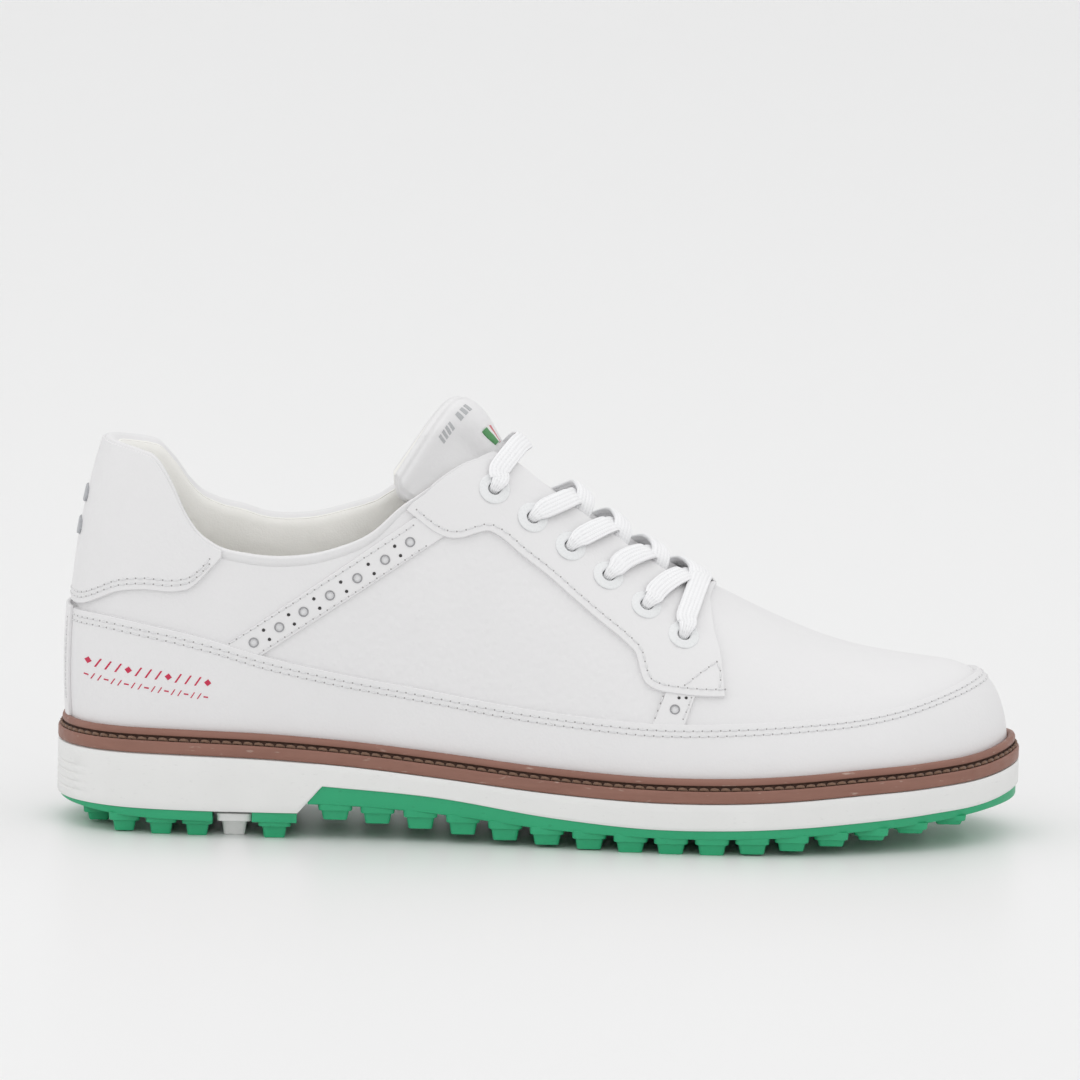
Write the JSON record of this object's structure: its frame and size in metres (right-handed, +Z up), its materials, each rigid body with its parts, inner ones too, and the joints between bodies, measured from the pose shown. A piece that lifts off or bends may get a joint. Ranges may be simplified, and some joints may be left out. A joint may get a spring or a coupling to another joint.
{
  "type": "golf shoe",
  "caption": "Right-foot low golf shoe with a welted leather upper, a white midsole and a lugged green rubber outsole, laced over a padded tongue.",
  "frame": {"origin": "on the ground, below the middle of the sole's length and width", "axes": "+X towards the toe, +Z up, -Y towards the outer (lateral) side"},
  "size_m": [0.298, 0.1069, 0.1337],
  "materials": {
    "white_leather": "semi-matt finish",
    "cream_lining": "matt",
    "white_rubber": "matt",
    "green_rubber": "satin",
    "brown_welt": "satin",
    "brown_thread": "matt",
    "white_lace": "matt",
    "white_enamel": "gloss",
    "foam": "matt",
    "stiffener": "matt",
    "cork": "matt",
    "steel": "brushed",
    "label": "woven",
    "aglet": "gloss",
    "steel_grey": "matt"
  },
  "bodies": {
    "shoe": {"aglet_lower": "aglet", "aglet_upper": "aglet", "backstay": "white_leather", "brogue_strip_lateral": "white_leather", "brogue_strip_medial": "white_leather", "collar_foam": "foam", "cork_filler": "cork", "eyelet_lateral_1": "white_enamel", "eyelet_lateral_2": "white_enamel", "eyelet_lateral_3": "white_enamel", "eyelet_lateral_4": "white_enamel", "eyelet_lateral_5": "white_enamel", "eyelet_lateral_6": "white_enamel", "eyelet_medial_1": "white_enamel", "eyelet_medial_2": "white_enamel", "eyelet_medial_3": "white_enamel", "eyelet_medial_4": "white_enamel", "eyelet_medial_5": "white_enamel", "eyelet_medial_6": "white_enamel", "eyestay_lateral": "white_leather", "eyestay_medial": "white_leather", "front_strip_lateral": "white_leather", "front_strip_medial": "white_leather", "heel_cap": "white_leather", "heel_counter": "stiffener", "heel_mark_lower": "steel_grey", "heel_mark_upper": "steel_grey", "insole_board": "stiffener", "lace": "white_lace", "lining_quarter": "cream_lining", "lining_vamp": "cream_lining", "midsole": "white_rubber", "outsole_forefoot": "green_rubber", "outsole_heel_front": "green_rubber", "outsole_heel_rear": "green_rubber", "quarter_lateral": "white_leather", "quarter_medial": "white_leather", "rand": "white_leather", "shank": "steel", "toe_puff": "stiffener", "vamp": "white_leather", "welt": "brown_welt", "welt_stitching": "brown_thread"},
    "tongue": {"tongue_leather": "white_leather", "tongue_foam": "foam", "tongue_lining": "cream_lining", "tongue_label": "label"},
    "footbed": {"footbed": "cream_lining"}
  },
  "joints": [
    {"name": "tongue_flex", "type": "hinge", "parent": "shoe", "child": "tongue", "pos_m": [0.064, 0.003, 0.0645], "axis": [0, -1, 0], "range_deg": [0, 8]},
    {"name": "footbed_lift", "type": "hinge", "parent": "shoe", "child": "footbed", "pos_m": [0.136, 0, 0.0274], "axis": [0, 1, 0], "range_deg": [0, 3.5]}
  ]
}
